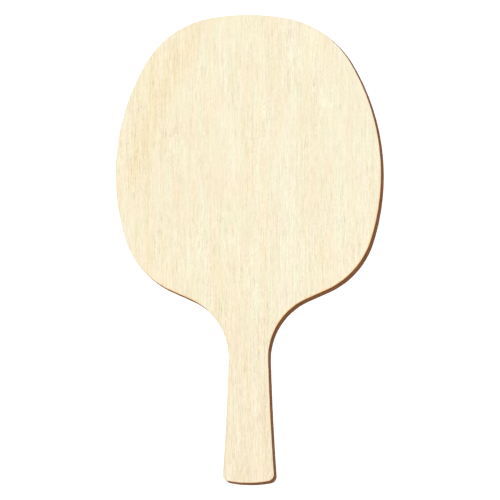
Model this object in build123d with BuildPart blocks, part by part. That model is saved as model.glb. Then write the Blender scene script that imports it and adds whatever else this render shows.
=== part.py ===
from build123d import *
import os
from math import radians, sqrt, tan

# Bare table tennis bat: one plywood board, cut to its outline in a single cut.
# It lies flat. The blade points to +Y, the handle to -Y, and the front face is up (+Z).
# The origin is the centre of the board's bounding box, on its rear face.

# Overall sizes, in mm
overall_length = 264.3
head_width = 150.0

# Head outline: a flat crown, two round sides and two sloping heels
crown_radius = 120.0
crown_corner_radius = 53.0
side_radius = 123.5
widest_from_crown = 90.1
heel_radius = 46.0
heel_slope = radians(24.0)
heel_apex_from_crown = 175.3

# Handle outline: it flares gently from the throat, which the neck fillets cover, to a round butt
throat_width = 21.4
throat_from_crown = 164.7
butt_width = 29.6
flank_radius = 1630.0
neck_radius = 36.0
butt_radius = 62.0
butt_corner_radius = 4.0

# The plies and the glue films between them, from the rear face to the front
glue_thickness = 0.1
face_thickness = 0.8
cross_thickness = 1.1
core_thickness = 2.2
layers = (
    ("rear_face_veneer", face_thickness),
    ("rear_face_glue", glue_thickness),
    ("rear_cross_veneer", cross_thickness),
    ("rear_core_glue", glue_thickness),
    ("core_veneer", core_thickness),
    ("front_core_glue", glue_thickness),
    ("front_cross_veneer", cross_thickness),
    ("front_face_glue", glue_thickness),
    ("front_face_veneer", face_thickness),
)

# Heights of the outline's features along Y
crown_y = overall_length / 2
widest_y = crown_y - widest_from_crown
heel_apex_y = crown_y - heel_apex_from_crown
throat_y = crown_y - throat_from_crown
butt_rise = butt_radius - sqrt(butt_radius**2 - (butt_width / 2) ** 2)
butt_corner_y = -overall_length / 2 + butt_rise

# The one outline that every layer has
with BuildSketch() as outline:
    # The head is what the crown circle and the two side circles have in common
    with Locations((0, crown_y - crown_radius)):
        Circle(crown_radius)
    for side in (-1, 1):
        with Locations((side * (head_width / 2 - side_radius), widest_y)):
            Circle(side_radius, mode=Mode.INTERSECT)

    # Two straight heels slope down to a point on the axis, inside the handle
    with BuildLine():
        Polyline(
            (0, heel_apex_y),
            (head_width, heel_apex_y + head_width * tan(heel_slope)),
            (head_width, crown_y),
            (-head_width, crown_y),
            (-head_width, heel_apex_y + head_width * tan(heel_slope)),
            close=True,
        )
    make_face(mode=Mode.INTERSECT)
    fillet(outline.vertices().group_by(Axis.Y)[-1], crown_corner_radius)
    fillet(outline.vertices().group_by(Axis.Y)[1], heel_radius)

    # The handle starts inside the head and runs down to the butt
    with BuildLine():
        Line((-throat_width / 2, throat_y), (throat_width / 2, throat_y))
        RadiusArc((throat_width / 2, throat_y), (butt_width / 2, butt_corner_y), -flank_radius)
        RadiusArc((butt_width / 2, butt_corner_y), (-butt_width / 2, butt_corner_y), butt_radius)
        RadiusArc((-butt_width / 2, butt_corner_y), (-throat_width / 2, throat_y), -flank_radius)
    make_face()
    fillet(outline.vertices().group_by(Axis.Y)[1], neck_radius)
    fillet(outline.vertices().group_by(Axis.Y)[0], butt_corner_radius)

# The board: each layer lies on the one before it
os.makedirs("parts", exist_ok=True)
layer_bottom = 0.0
for layer_name, layer_thickness in layers:
    with BuildPart() as layer:
        with BuildSketch(Plane.XY.offset(layer_bottom)):
            add(outline.sketch)
        extrude(amount=layer_thickness)
    layer.part.label = layer_name
    export_step(layer.part, f"parts/{layer_name}.step")
    layer_bottom += layer_thickness
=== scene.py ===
import math
from collections import namedtuple

import bmesh
import bpy
import numpy as np
from mathutils import Matrix, Vector
from mathutils.geometry import delaunay_2d_cdt
from mathutils.kdtree import KDTree


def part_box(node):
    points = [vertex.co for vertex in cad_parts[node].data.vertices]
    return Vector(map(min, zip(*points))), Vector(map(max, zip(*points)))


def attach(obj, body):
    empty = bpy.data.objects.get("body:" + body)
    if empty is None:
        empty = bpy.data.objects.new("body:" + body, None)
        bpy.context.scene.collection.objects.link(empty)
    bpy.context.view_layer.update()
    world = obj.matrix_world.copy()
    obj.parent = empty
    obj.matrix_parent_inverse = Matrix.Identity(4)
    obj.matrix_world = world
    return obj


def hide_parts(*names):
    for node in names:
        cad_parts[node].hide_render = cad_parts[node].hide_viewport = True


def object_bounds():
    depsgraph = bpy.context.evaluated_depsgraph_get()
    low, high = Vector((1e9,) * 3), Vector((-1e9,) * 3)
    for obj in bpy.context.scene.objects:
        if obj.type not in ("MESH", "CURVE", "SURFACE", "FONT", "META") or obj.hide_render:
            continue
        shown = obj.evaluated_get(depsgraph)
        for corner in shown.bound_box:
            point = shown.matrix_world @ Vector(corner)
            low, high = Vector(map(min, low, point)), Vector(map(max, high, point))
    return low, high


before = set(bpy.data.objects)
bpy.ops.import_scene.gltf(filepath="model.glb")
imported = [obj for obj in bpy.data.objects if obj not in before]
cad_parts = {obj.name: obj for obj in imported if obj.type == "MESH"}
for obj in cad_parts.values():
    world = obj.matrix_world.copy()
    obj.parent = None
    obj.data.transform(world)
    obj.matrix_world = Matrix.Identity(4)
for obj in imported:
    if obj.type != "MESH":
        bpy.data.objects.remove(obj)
cad_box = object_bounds()

MM = 0.001
WELD = 0.001 * MM

# The laser cut: how the outline is followed and how its burnt wall is shaped, in mm
OUTLINE_STEP = 0.5
WALL_STEP = 0.2
RIM_RADIUS = 0.05
RIM_STEPS = 2
# (inset from the outline, how burnt the wood is there), on a face that is open to the air
SCORCH_RINGS = ((0.07, 0.95), (0.2, 0.85), (0.35, 0.65), (0.55, 0.3), (0.9, 0.1), (1.6, 0.0))
# The hot smoke was drawn off this way across the board, so the face is scorched on that side only
SMOKE_DRAWN = (0.45, -0.89)
LEAST_SMOKE = 0.03
# It marked the handle less: (place along the bat in mm, share of the smoke)
SMOKE_ALONG = ((-65, 0.2), (-28, 1.0))
HIDDEN_INSET = 0.5
# (wavelength round the outline, depth) of the waves that the beam leaves in the wall
BEAM_WAVES = ((1.4, 0.011), (3.1, 0.012), (9.0, 0.02))
WAVES_IN_A_BAND = 14

# Raised grain on an open face, in mm: (wavelength across the grain, along it, depth)
FACE_GRAIN = ((1.3, 17.0, 0.0045), (2.9, 38.0, 0.005), (11.0, 90.0, 0.006))
FACE_POINTS = (0.48, 1.5)
HIDDEN_POINTS = (4.0, 4.0)
# In a face's fill, as shares of that spacing: how far a point strays, and how far it keeps from the ring
FILL_JITTER = 0.16
FILL_CLEARANCE = 0.55
# How much a corner's rough heading counts beside the rule that fixes all the headings together
ROUGH_WEIGHT = 0.001
# Above this angle, in degrees, an edge is drawn sharp
SHARP_ANGLE = 50

# The beam's slot is wider where it enters: how far the wall leans in at the front face, in mm
WALL_TAPER = 0.1
# How far the beam burnt each kind of layer back from the outline, in mm
GLUE_RECESS = 0.0
LONG_PLY_RECESS = 0.03
CROSS_PLY_RECESS = 0.055


def outline_corners(cad_object):
    """The corners of a CAD layer's outline, anticlockwise from the butt, as seen from the front."""
    shape = bmesh.new()
    shape.from_mesh(cad_object.data)
    bmesh.ops.remove_doubles(shape, verts=shape.verts, dist=WELD)
    shape.normal_update()
    following = {}
    for edge in shape.edges:
        upper = [loop for loop in edge.link_loops if loop.face.normal.z > 0.9]
        if len(upper) == 1:
            following[upper[0].vert] = upper[0].link_loop_next.vert
    first = min(following, key=lambda vert: (vert.co.y, abs(vert.co.x)))
    loop = [first]
    while following[loop[-1]] is not first:
        loop.append(following[loop[-1]])
    corners = np.array([(vert.co.x, vert.co.y) for vert in loop])
    shape.free()
    return corners


def smooth_outline(corners, step):
    """Points about a step apart along the outline, and the outward direction at each.

    The corners lie on arcs that run smoothly into one another. The outline's headings at the two ends of an
    arc add up to twice the heading of its chord, which gives the heading at every corner.
    """
    count = len(corners)
    chords = np.roll(corners, -1, axis=0) - corners
    lengths = np.hypot(chords[:, 0], chords[:, 1])
    headings = np.unwrap(np.arctan2(chords[:, 1], chords[:, 0]))
    before = np.roll(headings, 1)
    before[0] -= 2 * math.pi
    share = lengths / (lengths + np.roll(lengths, 1))
    rough = before * share + headings * (1 - share)
    sums = 2 * headings
    sums[-1] -= 2 * math.pi
    pairs = np.eye(count) + np.roll(np.eye(count), 1, axis=1)
    matrix = np.vstack([pairs, ROUGH_WEIGHT * np.eye(count)])
    at_corner = np.linalg.lstsq(matrix, np.concatenate([sums, ROUGH_WEIGHT * rough]), rcond=None)[0]
    turns = 2 * (headings - at_corner)

    half = turns / 2
    arcs = lengths / np.sinc(half / math.pi)
    ends = np.cumsum(arcs)
    samples = int(round(ends[-1] / step))
    runs = np.arange(samples) * ends[-1] / samples
    side = np.searchsorted(ends, runs, side="right")
    part = 1 - (ends[side] - runs) / arcs[side]
    reach = arcs[side] * part * np.sinc(half[side] * part / math.pi)
    towards = at_corner[side] + half[side] * part
    points = corners[side] + reach[:, None] * np.stack([np.cos(towards), np.sin(towards)], axis=1)
    heading = at_corner[side] + turns[side] * part
    outward = np.stack([np.sin(heading), -np.cos(heading)], axis=1)
    return points, outward


def beam_marks(samples, length, seed):
    """How far the beam's waves reach into the wall at each point round the outline, in metres."""
    rng = np.random.default_rng(seed)
    turn = 2 * math.pi * np.arange(samples) / samples
    depth = np.zeros(samples)
    for wavelength, amount in BEAM_WAVES:
        middle = length / (wavelength * MM)
        for _ in range(WAVES_IN_A_BAND):
            count = round(middle * rng.uniform(0.65, 1.5))
            wave = np.cos(count * turn + rng.uniform(0, 2 * math.pi))
            depth += amount * MM * wave / math.sqrt(WAVES_IN_A_BAND)
    return depth - depth.min()


def face_relief(x, y, seed):
    """How far the grain dips below a sanded face, in metres. The grain runs along Y."""
    rng = np.random.default_rng(seed)
    depth = np.zeros(len(x))
    for across, along, amount in FACE_GRAIN:
        for _ in range(3 * WAVES_IN_A_BAND):
            wave_x = rng.uniform(0.5, 1.4) / (across * MM)
            wave_y = rng.normal() / (along * MM)
            phase = rng.uniform(0, 1)
            wave = np.cos(2 * math.pi * (wave_x * x + wave_y * y + phase))
            depth += amount * MM * wave / math.sqrt(WAVES_IN_A_BAND)
    return np.clip(depth - np.quantile(depth, 0.02), 0, None)


def fill(ring, spacing, seed):
    """Points inside a ring, spaced across and along the grain, and the triangles that fill the ring."""
    rng = np.random.default_rng(seed)
    scale = 1 / (np.array(spacing) * MM)
    ring = ring * scale
    low, high = ring.min(axis=0), ring.max(axis=0)
    columns, rows = np.arange(low[0], high[0]), np.arange(low[1], high[1])
    grid = np.stack(np.meshgrid(columns, rows), axis=-1)
    grid[1::2, :, 0] += 0.5
    grid = grid.reshape(-1, 2) + rng.uniform(-FILL_JITTER, FILL_JITTER, (grid.size // 2, 2))

    nearest = KDTree(len(ring))
    for index, point in enumerate(ring):
        nearest.insert((*point, 0), index)
    nearest.balance()
    clear = [nearest.find((*point, 0))[2] > FILL_CLEARANCE for point in grid]
    inside = grid[np.array(clear) & within(grid, ring)]

    points = [Vector(point) for point in np.vstack([ring, inside])]
    _, _, triangles, origins, _, _ = delaunay_2d_cdt(points, [], [list(range(len(ring)))], 1, 1e-7)
    triangles = [[origins[corner][0] for corner in triangle] for triangle in triangles]
    return inside / scale, triangles


def within(points, ring):
    """Whether each point is inside the ring, by counting the ring's sides to its right."""
    a, b = ring, np.roll(ring, -1, axis=0)
    odd = np.zeros(len(points), bool)
    for (ax, ay), (bx, by) in zip(a, b):
        if ay != by:
            crosses = (ay > points[:, 1]) != (by > points[:, 1])
            odd ^= crosses & (points[:, 0] < ax + (bx - ax) * (points[:, 1] - ay) / (by - ay))
    return odd


def wall_section(low, high, open_low, open_high):
    """A layer's edge in section, as (inset, height, burnt) from its lower side up to its upper side."""
    rim = RIM_RADIUS * MM
    top = [(0, high, 1.0), (HIDDEN_INSET * MM, high, 0.0)]
    if open_high:
        top = open_rim(rim, high, -1)
    bottom = [(0, low, 1.0), (HIDDEN_INSET * MM, low, 0.0)]
    if open_low:
        bottom = open_rim(rim, low, 1)
    start, end = bottom[0][1], top[0][1]
    steps = max(1, round((end - start) / (WALL_STEP * MM)))
    wall = [(0, start + (end - start) * step / steps, 1.0) for step in range(1, steps)]
    return bottom[::-1] + wall + top


def open_rim(rim, face, inward):
    """The rounded, scorched edge of an open face, from the wall to where the wood is clean."""
    corner = []
    for step in range(RIM_STEPS + 1):
        angle = math.pi / 2 * step / RIM_STEPS
        corner.append((rim * (1 - math.cos(angle)), face + inward * rim * (1 - math.sin(angle)), 1.0))
    return corner + [(inset * MM, face, burnt) for inset, burnt in SCORCH_RINGS]


def smoke_round(points, outward):
    """How much smoke met the face's edge at each point round the outline, from 0 to 1."""
    places, shares = zip(*SMOKE_ALONG)
    drawn = outward @ np.array(SMOKE_DRAWN) * np.interp(points[:, 1] / MM, places, shares)
    return np.clip(drawn, LEAST_SMOKE, 1)


def wall_rings(section, points, outward, recess):
    """The section carried round the outline: a ring of points for each step, and how burnt each is."""
    samples = len(points)
    marks = beam_marks(samples, samples * OUTLINE_STEP * MM, seed=7)
    smoked = smoke_round(points, outward)
    rings, burnt = [], []
    for inset, height, burn in section:
        lean = WALL_TAPER * MM * height / cad_box[1].z
        pushed = inset + lean + burn * (recess * MM + marks)
        flat = points - outward * pushed[:, None]
        rings.append(np.column_stack([flat, np.full(samples, height)]))
        burnt.append(np.full(samples, burn) if burn == 1 else burn * smoked)
    return rings, burnt


def wall_faces(rows, samples):
    """The squares between each ring of the wall and the next."""
    faces = []
    for row in range(rows - 1):
        for index in range(samples):
            after = (index + 1) % samples
            below, above = row * samples, (row + 1) * samples
            faces.append((below + index, below + after, above + after, above + index))
    return faces


def board_face(ring, height, is_top, is_open, seed):
    """The points inside a face's ring, with the grain's relief on an open face, and the face's triangles."""
    inside, triangles = fill(ring, FACE_POINTS if is_open else HIDDEN_POINTS, seed)
    flat = np.column_stack([inside, np.full(len(inside), height)])
    if is_open:
        relief = face_relief(inside[:, 0], inside[:, 1], seed + is_top)
        flat[:, 2] += -relief if is_top else relief
    return flat, triangles


def layer_mesh(name, node, recess, open_low, open_high, seed):
    """A closed board layer with the CAD node's place and outline, its wall burnt by the beam."""
    low, high = (corner.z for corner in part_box(node))
    corners = outline_corners(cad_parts[node])
    points, outward = smooth_outline(corners, OUTLINE_STEP * MM)
    samples = len(points)
    section = wall_section(low, high, open_low, open_high)
    coordinates, burnt = wall_rings(section, points, outward, recess)
    faces = wall_faces(len(section), samples)

    base = len(section) * samples
    lower_ring, upper_ring = coordinates[0][:, :2], coordinates[-1][:, :2]
    last_row = (len(section) - 1) * samples
    sides = ((lower_ring, low, 0, False, open_low), (upper_ring, high, last_row, True, open_high))
    for ring, height, first, is_top, is_open in sides:
        flat, triangles = board_face(ring, height, is_top, is_open, seed)
        coordinates.append(flat)
        burnt.append(np.zeros(len(flat)))
        for triangle in triangles:
            numbers = [first + c if c < samples else base + c - samples for c in triangle]
            faces.append(tuple(numbers if is_top else numbers[::-1]))
        base += len(flat)
    return board_object(name, np.vstack(coordinates), faces, np.concatenate(burnt))


def board_object(name, coordinates, faces, burnt):
    """The layer as an object in the scene, with how burnt each point is as an attribute of its mesh."""
    mesh = bpy.data.meshes.new(name)
    mesh.from_pydata(coordinates, [], faces)
    attribute = mesh.attributes.new("burnt", "FLOAT", "POINT")
    attribute.data.foreach_set("value", burnt.astype(np.float32))
    mesh.update()
    mesh.shade_smooth()
    mesh.set_sharp_from_angle(angle=math.radians(SHARP_ANGLE))
    piece = bpy.data.objects.new(name, mesh)
    bpy.context.scene.collection.objects.link(piece)
    return piece


def add(tree, kind, inputs=None, **settings):
    """A shader node with its settings and inputs, where an input is a value or another node's output."""
    made = tree.nodes.new("ShaderNode" + kind)
    for name, value in settings.items():
        setattr(made, name, value)
    for name, value in (inputs or {}).items():
        if isinstance(value, bpy.types.NodeSocket):
            tree.links.new(value, made.inputs[name])
        else:
            made.inputs[name].default_value = value
    return made


def calc(tree, operation, *values, clamp=False):
    """A maths node's result."""
    return add(tree, "Math", dict(enumerate(values)), operation=operation, use_clamp=clamp).outputs[0]


def mix(tree, share, first, second, blend="MIX"):
    """Two colours mixed, as a socket. A share is a number or a socket."""
    made = add(tree, "Mix", data_type="RGBA", blend_type=blend)
    sockets = {s.identifier: s for s in made.inputs}
    for socket, value in (("Factor_Float", share), ("A_Color", first), ("B_Color", second)):
        if isinstance(value, bpy.types.NodeSocket):
            tree.links.new(value, sockets[socket])
        else:
            sockets[socket].default_value = value
    return next(s for s in made.outputs if s.identifier == "Result_Color")


def grain(tree, place, size, detail, shift):
    """Noise with blobs of about the given size along X, Y and Z, in mm."""
    scale = [1 / (length * MM) for length in size]
    offset = [shift * part for part in NOISE_SHIFT]
    scaled = add(tree, "VectorMath", {0: place, 1: scale}, operation="MULTIPLY").outputs[0]
    moved = add(tree, "VectorMath", {0: scaled, 1: offset}, operation="ADD").outputs[0]
    return add(tree, "TexNoise", {"Vector": moved, "Scale": 1.0, "Detail": detail}).outputs[0]


def srgb(red, green, blue):
    """A colour from the usual 0 to 255 numbers, as a shader wants it."""
    def linear(level):
        level /= 255
        return level / 12.92 if level <= 0.04045 else ((level + 0.055) / 1.055) ** 2.4
    return (linear(red), linear(green), linear(blue), 1.0)


def swing(tree, noise, reach, middle=0.0, clamp=False):
    """A value that follows noise from half its reach below the middle to half its reach above."""
    return calc(tree, "MULTIPLY_ADD", noise, reach, middle - reach / 2, clamp=clamp)


def fibre_noise(tree, place, along, shift):
    """A maker of values that swing with noise drawn out along the grain, which runs along X or Y."""
    def fibre(kind, middle=0.0, clamp=False):
        size = (kind.width, kind.length, kind.width)
        if along == "X":
            size = (kind.length, kind.width, kind.width)
        noise = grain(tree, place, size, kind.detail, shift + kind.seed)
        return swing(tree, noise, kind.reach, middle, clamp)
    return fibre


def banded_tone(tree, across, bands):
    """How pale the wood is across the board, drifting evenly between a few places."""
    reach = bands[-1][0]
    ramp = add(tree, "ValToRGB", {0: calc(tree, "MULTIPLY_ADD", across, 0.5 / (reach * MM), 0.5)})
    stops = ramp.color_ramp.elements
    while len(stops) < len(bands):
        stops.new(0.5)
    for stop, (where, tone) in zip(stops, bands):
        stop.position = 0.5 + 0.5 * where / reach
        stop.color = (tone, tone, tone, 1)
    return ramp.outputs["Color"]


def hump(tree, offset, width):
    """1 where the offset is 0, falling smoothly to nearly nothing two widths away. The width is in mm."""
    share = calc(tree, "DIVIDE", offset, width * MM)
    return calc(tree, "EXPONENT", calc(tree, "MULTIPLY", share, calc(tree, "MULTIPLY", share, -1.0)))


def bare_wood(tree, axes, fibre, look):
    """The colour of the clean wood: a drift across the board, leaning streaks, and uneven fibres."""
    side = axes["X" if look["along"] == "Y" else "Y"]
    leaned = calc(tree, "MULTIPLY_ADD", axes["Y"], -look["lean"], fibre(WANDER))
    tone = banded_tone(tree, calc(tree, "ADD", side, leaned), look["bands"])
    for start, lean, width, depth in look["streaks"]:
        middle = calc(tree, "MULTIPLY_ADD", axes["Y"], lean, start * MM)
        streak = hump(tree, calc(tree, "SUBTRACT", side, middle), width)
        uneven = calc(tree, "MULTIPLY", streak, fibre(STREAK_PATCHES, 1.0))
        tone = calc(tree, "MULTIPLY_ADD", uneven, -depth, tone)
    tone = calc(tree, "ADD", tone, fibre(BROAD_TONES))
    tone = calc(tree, "ADD", tone, fibre(FINE_TONES), clamp=True)
    colour = mix(tree, tone, look["yellow"], look["pale"])
    hue = mix(tree, fibre(HUES, 0.5, clamp=True), ROSY, GREENISH)
    colour = mix(tree, 1.0, colour, hue, "MULTIPLY")
    steepness = -1 / (ROSE_LENGTH * MM)
    handle = calc(tree, "MULTIPLY_ADD", axes["Y"], steepness, ROSE_FROM / ROSE_LENGTH, clamp=True)
    return mix(tree, handle, colour, ROSE_HANDLE, "MULTIPLY")


def dark_fibres(tree, axes, fibre):
    """How dark the fine grain is, from 0 to 1: streaks, threads, specks and pores, in uneven patches."""
    pores = calc(tree, "MAXIMUM", fibre(PORES, -PORE_LEVEL * PORES.reach), 0.0)
    lines = calc(tree, "ADD", fibre(STREAKS), fibre(THREADS))
    fine = calc(tree, "ADD", lines, calc(tree, "ADD", fibre(SPECKS), pores))
    strength = calc(tree, "MULTIPLY_ADD", axes["Y"], -STRONGER_DOWN, fibre(PATCHES, GRAIN_STRENGTH))
    return calc(tree, "MULTIPLY_ADD", fine, strength, GRAIN_MIDDLE, clamp=True)


def flecked(tree, axes, colour, flecks):
    """The wood's colour with a few small pale flecks in it."""
    for x, y, width, length, strength in flecks:
        sideways = hump(tree, calc(tree, "SUBTRACT", axes["X"], x * MM), width)
        lengthways = hump(tree, calc(tree, "SUBTRACT", axes["Y"], y * MM), length)
        share = calc(tree, "MULTIPLY", calc(tree, "MULTIPLY", sideways, lengthways), strength)
        colour = mix(tree, share, colour, FLECK)
    return colour


def charred_wall(tree, place, fibre, char, shift):
    """The colour of the cut wall, and the lines that the beam left down it."""
    lines = grain(tree, place, BEAM_LINES, 3, shift + 6)
    soot = grain(tree, place, SOOT, 2, shift + 7)
    shade = calc(tree, "MULTIPLY", swing(tree, lines, BEAM_REACH, 1.0), swing(tree, soot, SOOT_REACH, 1.0))
    shade = calc(tree, "MULTIPLY", shade, fibre(WALL_FIBRES, 1.0))
    return mix(tree, 1.0, char, shade, "MULTIPLY"), lines


def new_material(name):
    """An empty material's node tree, the place in the object, and how burnt each point is."""
    material = bpy.data.materials.new(name)
    material.use_nodes = True
    tree = material.node_tree
    tree.nodes.clear()
    place = add(tree, "TexCoord").outputs["Object"]
    burnt = add(tree, "Attribute", attribute_name="burnt").outputs["Fac"]
    return material, tree, place, burnt


def finish_material(tree, colour, rough, height, bump_strength, bump_depth, shine):
    """The surface shader, with its bump, joined to the material's output."""
    bump = add(tree, "Bump", {"Height": height, "Strength": bump_strength, "Distance": bump_depth * MM})
    shader = add(tree, "BsdfPrincipled", {
        "Base Color": colour, "Roughness": rough, "Normal": bump.outputs[0], "Specular IOR Level": shine})
    output = add(tree, "OutputMaterial")
    tree.links.new(shader.outputs[0], output.inputs["Surface"])


def wood(name, look, char, shift):
    """Bare wood. The burnt attribute turns it into toasted wood, then char."""
    material, tree, place, burnt = new_material(name)
    axes = add(tree, "SeparateXYZ", {0: place}).outputs
    fibre = fibre_noise(tree, place, look["along"], shift)

    dark = dark_fibres(tree, axes, fibre)
    clean = mix(tree, dark, bare_wood(tree, axes, fibre, look), FIBRE_TINT, "MULTIPLY")
    clean = flecked(tree, axes, clean, look["flecks"])
    toasted = mix(tree, 1.0, clean, TOAST, "MULTIPLY")
    uneven = swing(tree, grain(tree, place, TOAST_PATCHES, 3, shift + 9), TOAST_REACH, 1.0)
    toast = calc(tree, "MULTIPLY", calc(tree, "MULTIPLY", burnt, uneven), TOAST_STRENGTH, clamp=True)
    black, lines = charred_wall(tree, place, fibre, char, shift)
    limits = {"Value": burnt, "From Min": CHAR_FROM, "From Max": CHAR_FULL}
    charred = add(tree, "MapRange", limits, interpolation_type="SMOOTHSTEP").outputs[0]
    colour = mix(tree, charred, mix(tree, toast, clean, toasted), black)

    rough = calc(tree, "MULTIPLY_ADD", dark, FIBRE_ROUGHNESS - WOOD_ROUGHNESS, WOOD_ROUGHNESS)
    carved = calc(tree, "MULTIPLY", lines, burnt)
    height = calc(tree, "MULTIPLY_ADD", carved, CARVED_SHARE, calc(tree, "MULTIPLY", dark, -1.0))
    finish_material(tree, colour, rough, height, bump_strength=0.35, bump_depth=0.1, shine=0.05)
    return material


def glue(name, resin, char, shift):
    """Cured resin between two layers, nearly black where it was cut."""
    material, tree, place, burnt = new_material(name)
    patches = grain(tree, place, RESIN_PATCHES, 3, shift)
    lines = grain(tree, place, BEAM_LINES, 3, shift + 1)
    spread = mix(tree, 1.0, resin, swing(tree, patches, RESIN_REACH, 1.0), "MULTIPLY")
    black = mix(tree, 1.0, char, swing(tree, lines, GLUE_LINES_REACH, 1.0), "MULTIPLY")
    colour = mix(tree, burnt, spread, black)
    rough = swing(tree, patches, GLUE_ROUGHNESS_REACH, GLUE_ROUGHNESS)
    finish_material(tree, colour, rough, lines, bump_strength=0.4, bump_depth=0.05, shine=0.5)
    return material


# Noise drawn out along the grain: its width and length in mm, its detail, how far it swings, and its seed
Fibres = namedtuple("Fibres", "width length detail reach seed")
WANDER = Fibres(60, 150, 1, 3.0 * MM, 1)
BROAD_TONES = Fibres(6, 100, 2, 0.92, 2)
STREAKS = Fibres(0.6, 22, 2, 0.42, 3)
THREADS = Fibres(0.55, 5, 2, 0.44, 4)
SPECKS = Fibres(0.5, 1.5, 0, 0.24, 5)
WALL_FIBRES = Fibres(0.35, 6, 2, 1.0, 8)
HUES = Fibres(6, 22, 1, 2.2, 10)
PORES = Fibres(0.6, 7, 0, 1.1, 11)
STREAK_PATCHES = Fibres(1.6, 24, 1, 2.4, 12)
FINE_TONES = Fibres(1.5, 20, 2, 0.9, 13)
PATCHES = Fibres(10, 30, 1, 1.8, 14)

# Noise that doesn't follow the grain, as its size along X, Y and Z in mm
BEAM_LINES = (0.55, 0.55, 40)
SOOT = (9, 9, 6)
TOAST_PATCHES = (2.5, 2.5, 2.5)
RESIN_PATCHES = (6, 6, 6)
# How far each shade swings with its noise, as a share of its colour
BEAM_REACH = 1.3
SOOT_REACH = 0.8
TOAST_REACH = 1.2
RESIN_REACH = 0.8
GLUE_LINES_REACH = 1.2
# How far each new piece of noise is moved along X, Y and Z for each step of its shift
NOISE_SHIFT = (1.0, 0.37, 0.71)

# The fine grain: how strong it is, how much more so per metre down the bat, its middle tone from 0 to 1,
# and how far above the middle of its noise a pore starts to show
GRAIN_STRENGTH = 1.18
STRONGER_DOWN = 1.6
GRAIN_MIDDLE = 0.2
PORE_LEVEL = 0.16

# Roughness of the wood, of its dark fibres, and of the glue and how far it varies
WOOD_ROUGHNESS = 0.63
FIBRE_ROUGHNESS = 0.33
GLUE_ROUGHNESS = 0.5
GLUE_ROUGHNESS_REACH = 0.3

# In the wood's bump, how much the beam's lines count beside the dark fibres
CARVED_SHARE = 2.0

# How burnt the wood is, from 0 to 1, where char starts to show and where it is all char
CHAR_FROM = 0.42
CHAR_FULL = 0.95
# How quickly wood toasts as it is burnt, before it chars
TOAST_STRENGTH = 1.6

# The handle is a little rosier, from this place along the bat and fully so this much further down, in mm
ROSE_FROM = -25.0
ROSE_LENGTH = 45.0

# How the tone drifts across the bat: a place in mm, and its tone from 0, warm, to 1, pale
FRONT_BANDS = ((-76, 0.72), (0, 0.72), (76, 0.92))
REAR_BANDS = ((-76, 0.78), (0, 0.66), (76, 0.74))
INNER_BANDS = ((-76, 0.5), (-30, 0.7), (20, 0.4), (76, 0.6))

# Streaks along the bat: place at the middle of the bat, lean, half width, and depth, less than 0 if pale
FRONT_STREAKS = ((-85, 0.43, 6.5, 0.34), (-59, 0.04, 4.0, 0.16), (20.0, 0.02, 3.0, -0.3))
REAR_STREAKS = ((48, -0.22, 7.0, 0.3),)

# Small pale flecks: x, y, half width, half length and strength
FRONT_FLECKS = ((42.8, 82.2, 1.7, 2.8, 1.0), (46.9, 80.6, 0.7, 2.0, 0.8))

# Colours of the clean wood, then tints that multiply it, then what the beam leaves
YELLOW = srgb(240, 223, 185)
PALE = srgb(243, 236, 214)
INNER_YELLOW = srgb(222, 196, 152)
INNER_PALE = srgb(230, 210, 172)
FLECK = srgb(236, 232, 207)
ROSY = (1, 0.966, 0.97, 1)
GREENISH = (0.972, 1, 0.966, 1)
ROSE_HANDLE = (0.987, 0.968, 0.972, 1)
FIBRE_TINT = (0.5, 0.467, 0.38, 1)
TOAST = (0.97, 0.6, 0.27, 1)
CHAR = srgb(120, 69, 20)
CROSS_CHAR = srgb(105, 60, 18)
GLUE_CHAR = srgb(57, 33, 15)
RESIN = srgb(150, 104, 62)

front_look = {"along": "Y", "lean": 0.03, "bands": FRONT_BANDS, "streaks": FRONT_STREAKS,
              "flecks": FRONT_FLECKS, "yellow": YELLOW, "pale": PALE}
rear_look = dict(front_look, bands=REAR_BANDS, streaks=REAR_STREAKS, flecks=())
core_look = {"along": "Y", "lean": 0.0, "bands": INNER_BANDS, "streaks": (), "flecks": (),
             "yellow": INNER_YELLOW, "pale": INNER_PALE}
cross_look = dict(core_look, along="X")

front_wood = wood("front_veneer_wood", front_look, CHAR, 11)
rear_wood = wood("rear_veneer_wood", rear_look, CHAR, 47)
core_wood = wood("core_veneer_wood", core_look, CHAR, 83)
cross_wood = wood("cross_veneer_wood", cross_look, CROSS_CHAR, 129)
resin = glue("cured_resin", RESIN, GLUE_CHAR, 171)

# node, material, record slot, recess, open below, open above, seed
LAYERS = (
    ("rear_face_veneer", rear_wood, "face_wood", LONG_PLY_RECESS, True, False, 21),
    ("rear_face_glue", resin, "cured_glue", GLUE_RECESS, False, False, 22),
    ("rear_cross_veneer", cross_wood, "inner_wood", CROSS_PLY_RECESS, False, False, 23),
    ("rear_core_glue", resin, "cured_glue", GLUE_RECESS, False, False, 24),
    ("core_veneer", core_wood, "inner_wood", LONG_PLY_RECESS, False, False, 25),
    ("front_core_glue", resin, "cured_glue", GLUE_RECESS, False, False, 26),
    ("front_cross_veneer", cross_wood, "inner_wood", CROSS_PLY_RECESS, False, False, 27),
    ("front_face_glue", resin, "cured_glue", GLUE_RECESS, False, False, 28),
    ("front_face_veneer", front_wood, "face_wood", LONG_PLY_RECESS, False, True, 29),
)
for node, material, slot, recess, open_low, open_high, seed in LAYERS:
    piece = layer_mesh(node + "_board", node, recess, open_low, open_high, seed)
    piece.data.materials.append(material)
    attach(piece, "root")
    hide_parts(node)


# The table: half its width in metres, its grey and its glow, and its gap below the board in mm
TABLE_HALF = 5.0
TABLE_GREY = 0.35
TABLE_GLOW = 0.95
TABLE_GAP = 0.02


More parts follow.
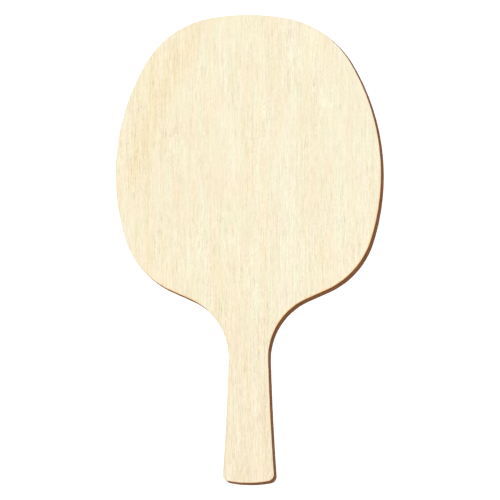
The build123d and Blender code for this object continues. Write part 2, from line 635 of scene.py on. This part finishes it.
def floor():
    """A wide white table that glows a little, as a light table does."""
    material = bpy.data.materials.new("white_table")
    material.use_nodes = True
    shader = material.node_tree.nodes["Principled BSDF"]
    shader.inputs["Base Color"].default_value = (TABLE_GREY, TABLE_GREY, TABLE_GREY, 1)
    shader.inputs["Roughness"].default_value = 0.9
    shader.inputs["Specular IOR Level"].default_value = 0.1
    shader.inputs["Emission Color"].default_value = (1, 1, 1, 1)
    shader.inputs["Emission Strength"].default_value = TABLE_GLOW
    signs = ((-1, -1), (1, -1), (1, 1), (-1, 1))
    mesh = bpy.data.meshes.new("table_top")
    mesh.from_pydata([(x * TABLE_HALF, y * TABLE_HALF, 0) for x, y in signs], [], [(0, 1, 2, 3)])
    mesh.materials.append(material)
    made = bpy.data.objects.new("table_top", mesh)
    made.location.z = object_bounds()[0].z - TABLE_GAP * MM
    bpy.context.scene.collection.objects.link(made)


# The room's brightness, and the lamp's strength, its apparent size in degrees and the way to it
ROOM_STRENGTH = 1.02
LAMP_STRENGTH = 0.75
LAMP_SIZE = 40
LAMP_TOWARDS = (-0.5, 0.55, 1.0)


def light():
    """An even white room, and one large soft lamp above the blade's upper left."""
    world = bpy.data.worlds.new("white_room")
    world.use_nodes = True
    background = world.node_tree.nodes["Background"]
    background.inputs["Color"].default_value = (1, 1, 1, 1)
    background.inputs["Strength"].default_value = ROOM_STRENGTH
    bpy.context.scene.world = world
    lamp = bpy.data.lights.new("soft_key", "SUN")
    lamp.energy = LAMP_STRENGTH
    lamp.angle = math.radians(LAMP_SIZE)
    made = bpy.data.objects.new("soft_key", lamp)
    made.rotation_euler = Vector(LAMP_TOWARDS).to_track_quat("Z", "Y").to_euler()
    bpy.context.scene.collection.objects.link(made)


# The view: its width and distance in metres, how far its line of sight slants to the right and down for each
# metre out from the face, and how far right and up of the bat's centre it is aimed, in metres
VIEW_WIDTH = 0.2820
VIEW_DISTANCE = 0.6
VIEW_RIGHT = 0.233
VIEW_DOWN = 0.198
AIM_RIGHT = 0.0009
AIM_UP = -0.0006


def camera():
    """The photo's view: the face drawn true to shape, and the walls on its right and lower sides in sight.

    The picture stays parallel to the face while the camera looks along a slant, so the camera's axes lean.
    An object can only lean like that through its parent.
    """
    data = bpy.data.cameras.new("camera")
    data.type = "ORTHO"
    data.ortho_scale = VIEW_WIDTH
    slant = Vector((VIEW_RIGHT, -VIEW_DOWN, 1.0))
    low, high = cad_box
    aim = Vector(((low.x + high.x) / 2 + AIM_RIGHT, (low.y + high.y) / 2 + AIM_UP, high.z))
    leaning = Matrix((Vector((1, 0, 0)), Vector((0, 1, 0)), slant)).transposed().to_4x4()
    mount = bpy.data.objects.new("camera_mount", None)
    made = bpy.data.objects.new("camera", data)
    for item in (mount, made):
        bpy.context.scene.collection.objects.link(item)
    made.parent = mount
    made.matrix_parent_inverse = Matrix.Translation(aim + slant * VIEW_DISTANCE) @ leaning
    bpy.context.scene.camera = made
    bpy.context.scene.view_settings.view_transform = "Standard"


floor()
light()
camera()
